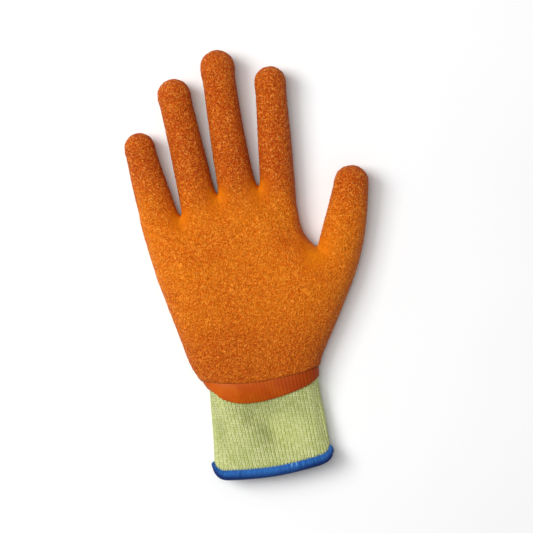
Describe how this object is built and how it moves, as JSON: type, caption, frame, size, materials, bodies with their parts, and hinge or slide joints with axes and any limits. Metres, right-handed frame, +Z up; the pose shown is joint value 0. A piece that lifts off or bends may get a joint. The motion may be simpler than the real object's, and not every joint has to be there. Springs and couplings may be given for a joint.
{
  "type": "work glove",
  "caption": "Knitted work glove for the right hand with a crinkled latex palm and fingers, a ribbed cuff and an overlocked edge, lying palm up.",
  "frame": {"origin": "centre of the glove's footprint, on the surface that it lies on", "axes": "+X from the little finger towards the thumb, +Y from the cuff towards the fingertips, +Z up out of the palm"},
  "size_m": [0.1394, 0.2452, 0.0222],
  "materials": {
    "knit": "plain knit, ribbed at the cuff",
    "latex_crinkle": "crinkled, satin",
    "latex_thin": "thin, satin",
    "overlock_yarn": "textured yarn"
  },
  "bodies": {
    "root": {"knit_cuff": "knit", "knit_hand": "knit", "knit_thumb": "knit", "knit_index_finger": "knit", "knit_middle_finger": "knit", "knit_ring_finger": "knit", "knit_little_finger": "knit", "latex_coating": "latex_crinkle", "latex_margin": "latex_thin", "cuff_overlock": "overlock_yarn"}
  },
  "joints": []
}
